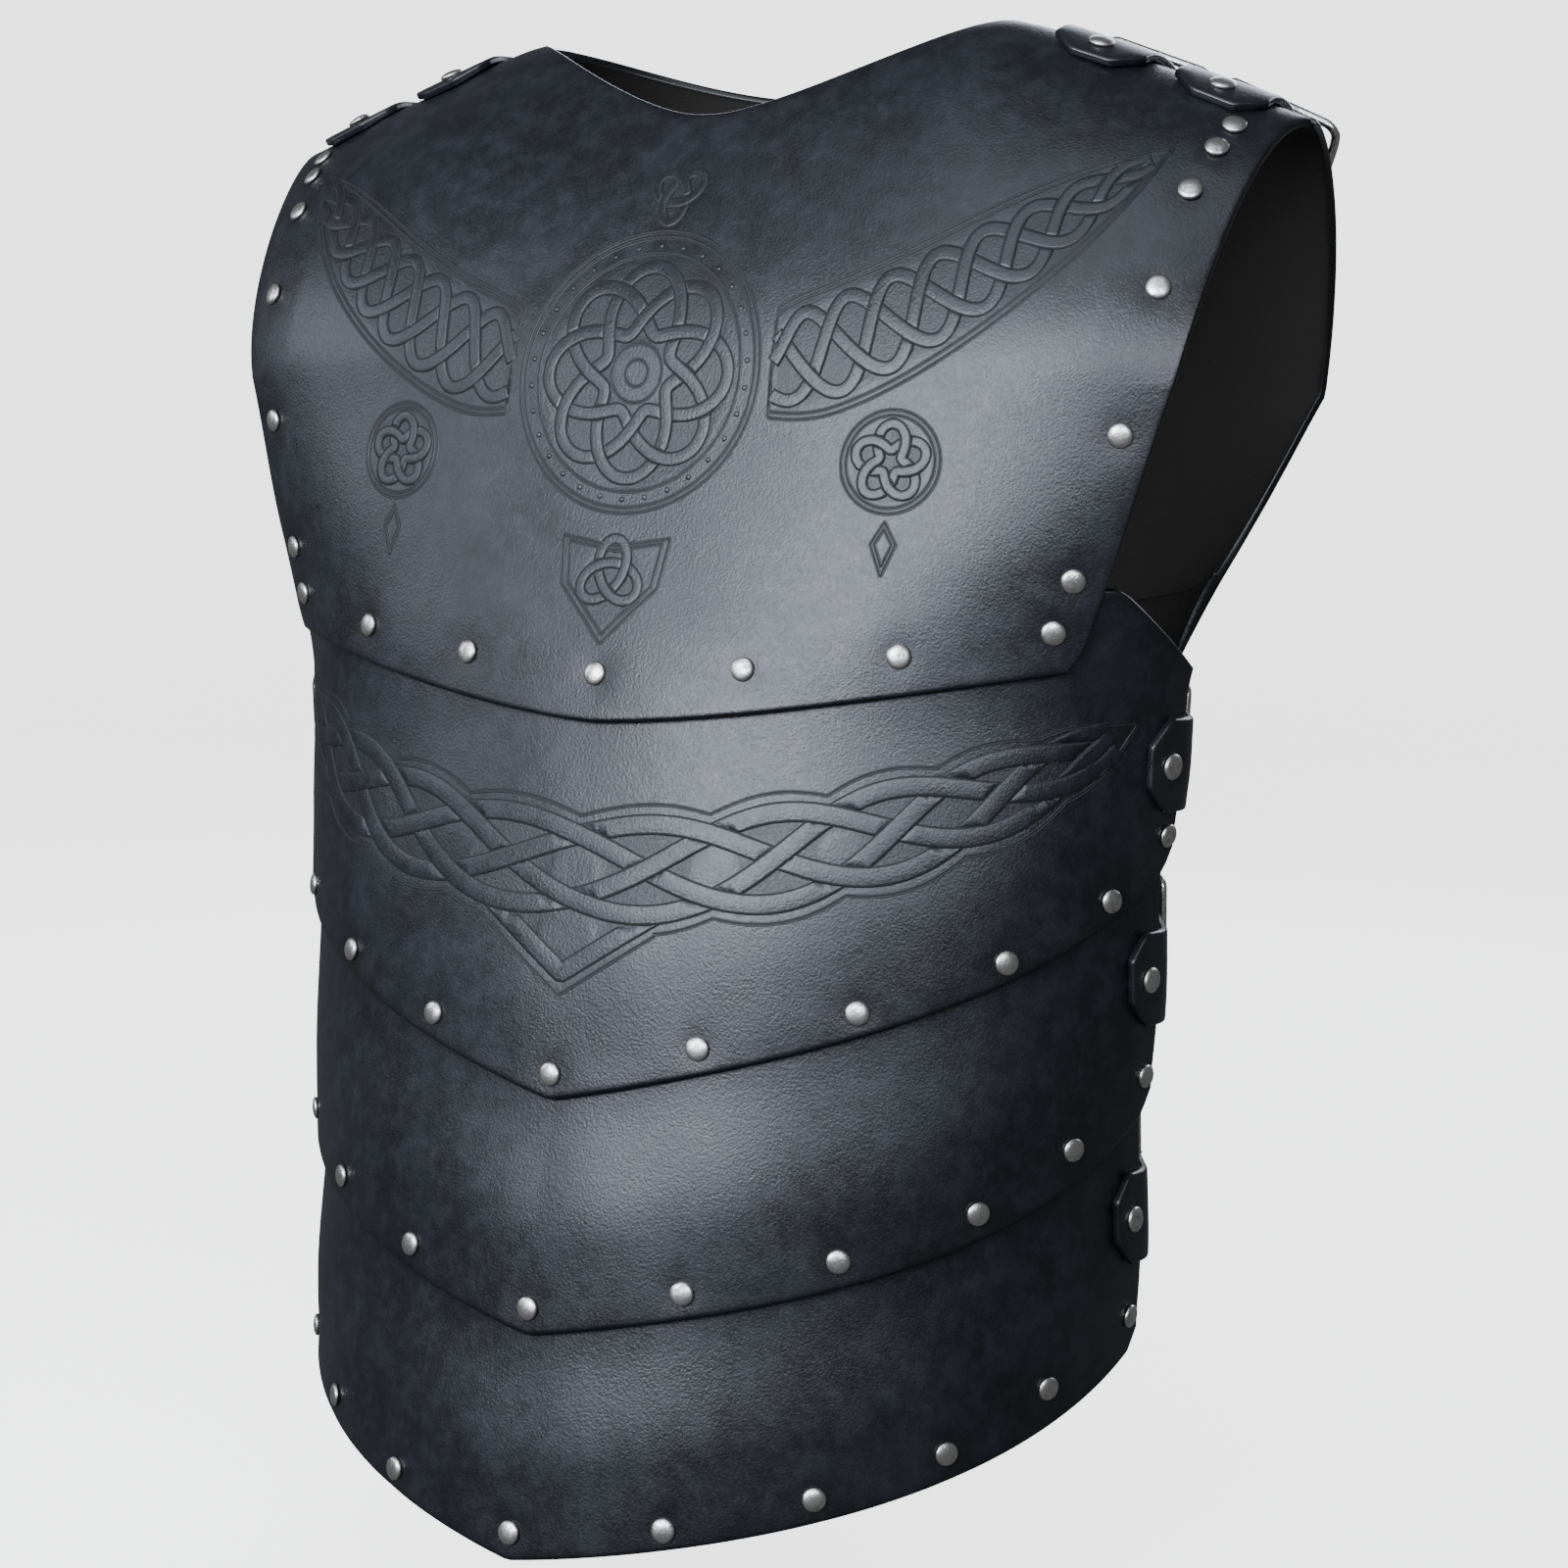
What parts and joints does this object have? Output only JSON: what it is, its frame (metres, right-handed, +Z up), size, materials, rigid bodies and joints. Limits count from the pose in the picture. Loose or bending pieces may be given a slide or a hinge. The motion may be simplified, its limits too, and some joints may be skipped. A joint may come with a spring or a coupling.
{
  "type": "leather chest armour",
  "caption": "Leather chest armour of overlapping riveted front and back plates, open at neck and arms, held by buckled straps over the shoulders and round the sides.",
  "frame": {"origin": "where the armour sits on its wearer: midway between the shoulders, 3 mm above the inner ends of the shoulder ridge of the plates' inner faces", "axes": "+Z up, the front faces -Y, the wearer's left side is +X"},
  "size_m": [0.4154, 0.274, 0.5225],
  "materials": {
    "plate": "satin black leather with a fine cloudy grain",
    "strap": "glossier black strap leather with burnished edges",
    "rivet": "worn antique nickel",
    "buckle": "plain satin nickel"
  },
  "bodies": {
    "root": {"back_lame_2": "plate", "back_lame_3": "plate", "back_lame_4": "plate", "back_yoke": "plate", "chest_plate": "plate", "front_lame_2": "plate", "front_lame_3": "plate", "front_lame_4": "plate", "left_shoulder_strap_inner": "strap", "left_shoulder_strap_inner_buckle": "buckle", "left_shoulder_strap_inner_chape": "strap", "left_shoulder_strap_inner_chape_rivet": "rivet", "left_shoulder_strap_inner_rivet": "rivet", "left_shoulder_strap_outer": "strap", "left_shoulder_strap_outer_buckle": "buckle", "left_shoulder_strap_outer_chape": "strap", "left_shoulder_strap_outer_chape_rivet": "rivet", "left_shoulder_strap_outer_rivet": "rivet", "left_side_strap_2": "strap", "left_side_strap_2_buckle": "buckle", "left_side_strap_2_chape": "strap", "left_side_strap_2_chape_rivet": "rivet", "left_side_strap_2_rivet": "rivet", "left_side_strap_3": "strap", "left_side_strap_3_buckle": "buckle", "left_side_strap_3_chape": "strap", "left_side_strap_3_chape_rivet": "rivet", "left_side_strap_3_rivet": "rivet", "left_side_strap_4": "strap", "left_side_strap_4_buckle": "buckle", "left_side_strap_4_chape": "strap", "left_side_strap_4_chape_rivet": "rivet", "left_side_strap_4_rivet": "rivet", "right_shoulder_strap_inner": "strap", "right_shoulder_strap_inner_buckle": "buckle", "right_shoulder_strap_inner_chape": "strap", "right_shoulder_strap_inner_chape_rivet": "rivet", "right_shoulder_strap_inner_rivet": "rivet", "right_shoulder_strap_outer": "strap", "right_shoulder_strap_outer_buckle": "buckle", "right_shoulder_strap_outer_chape": "strap", "right_shoulder_strap_outer_chape_rivet": "rivet", "right_shoulder_strap_outer_rivet": "rivet", "right_side_strap_2": "strap", "right_side_strap_2_buckle": "buckle", "right_side_strap_2_chape": "strap", "right_side_strap_2_chape_rivet": "rivet", "right_side_strap_2_rivet": "rivet", "right_side_strap_3": "strap", "right_side_strap_3_buckle": "buckle", "right_side_strap_3_chape": "strap", "right_side_strap_3_chape_rivet": "rivet", "right_side_strap_3_rivet": "rivet", "right_side_strap_4": "strap", "right_side_strap_4_buckle": "buckle", "right_side_strap_4_chape": "strap", "right_side_strap_4_chape_rivet": "rivet", "right_side_strap_4_rivet": "rivet"}
  },
  "joints": []
}
